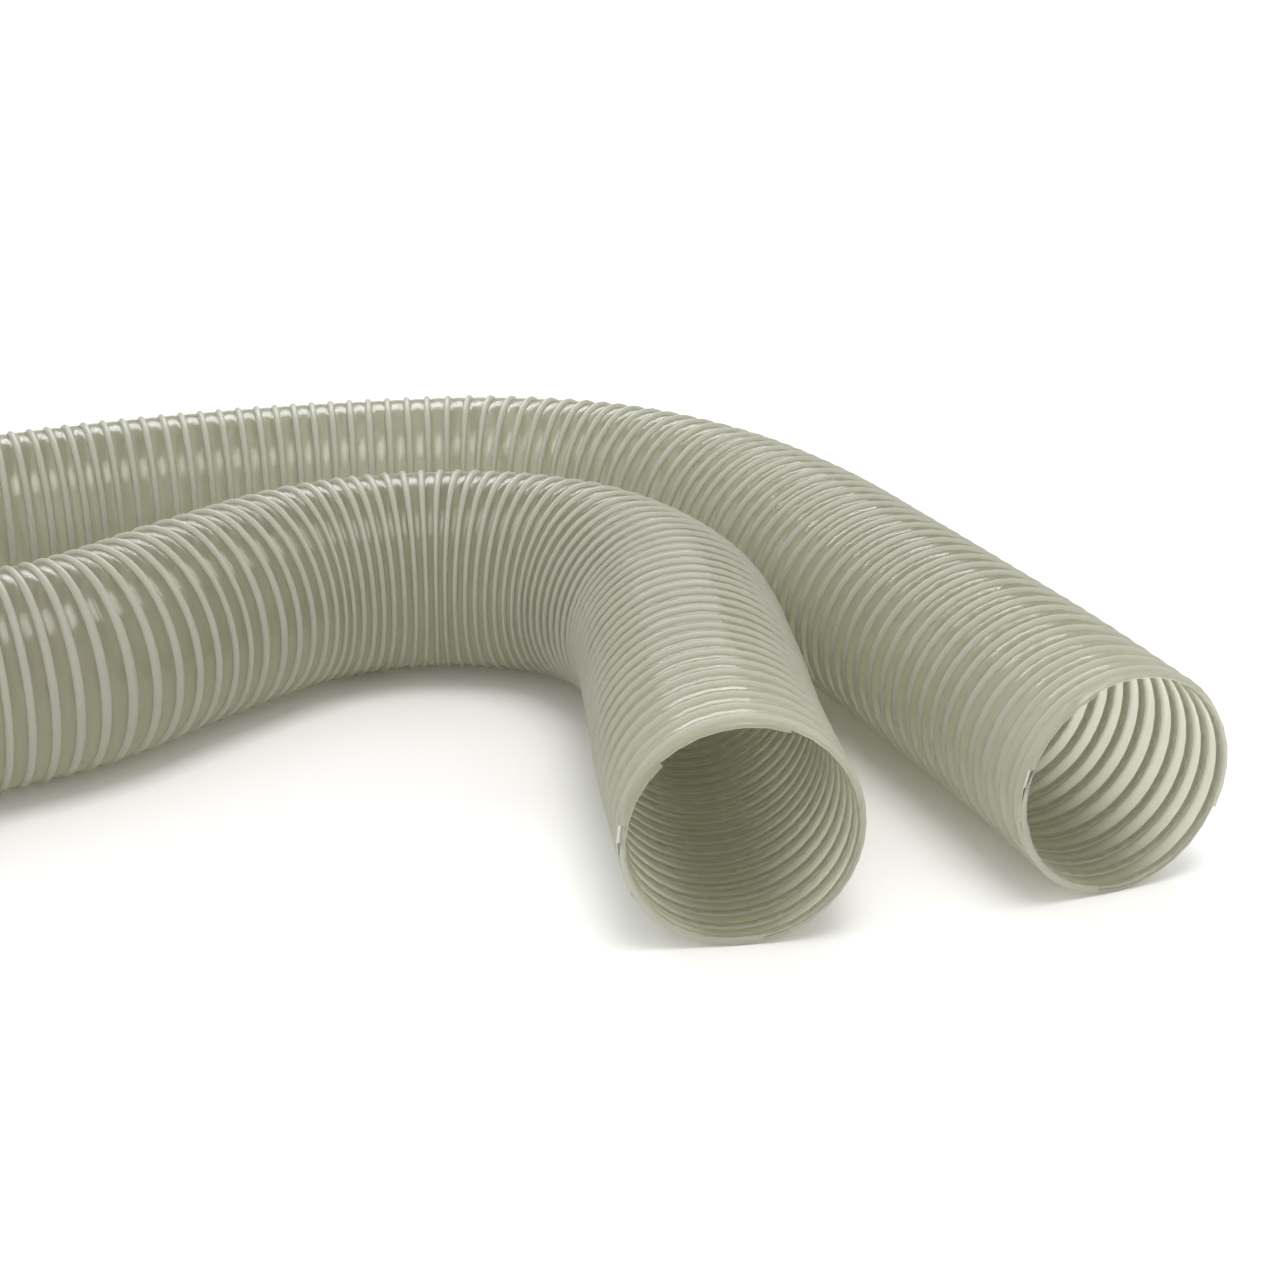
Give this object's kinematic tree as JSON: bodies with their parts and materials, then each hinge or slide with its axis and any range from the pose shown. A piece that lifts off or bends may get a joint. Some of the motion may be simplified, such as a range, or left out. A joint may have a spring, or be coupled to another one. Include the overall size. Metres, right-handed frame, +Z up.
{
  "type": "dust collection hose",
  "caption": "Clear flexible dust collection hose with a white spiral rib, lying bent back on itself with both cut ends open.",
  "frame": {"origin": "centre of the bounding box in X and Y, on the floor that the hose lies on", "axes": "+X along the longest extent, from the loop towards the cut ends; -Y the way that both cut ends face; +Z up"},
  "size_m": [1.2991, 0.6605, 0.109],
  "materials": {
    "clear_wall": "clear soft plastic film, glossy, slightly smoky and olive",
    "white_rib": "off-white semi-rigid plastic rib, satin"
  },
  "bodies": {
    "root": {"hose": "clear_wall"}
  },
  "joints": []
}
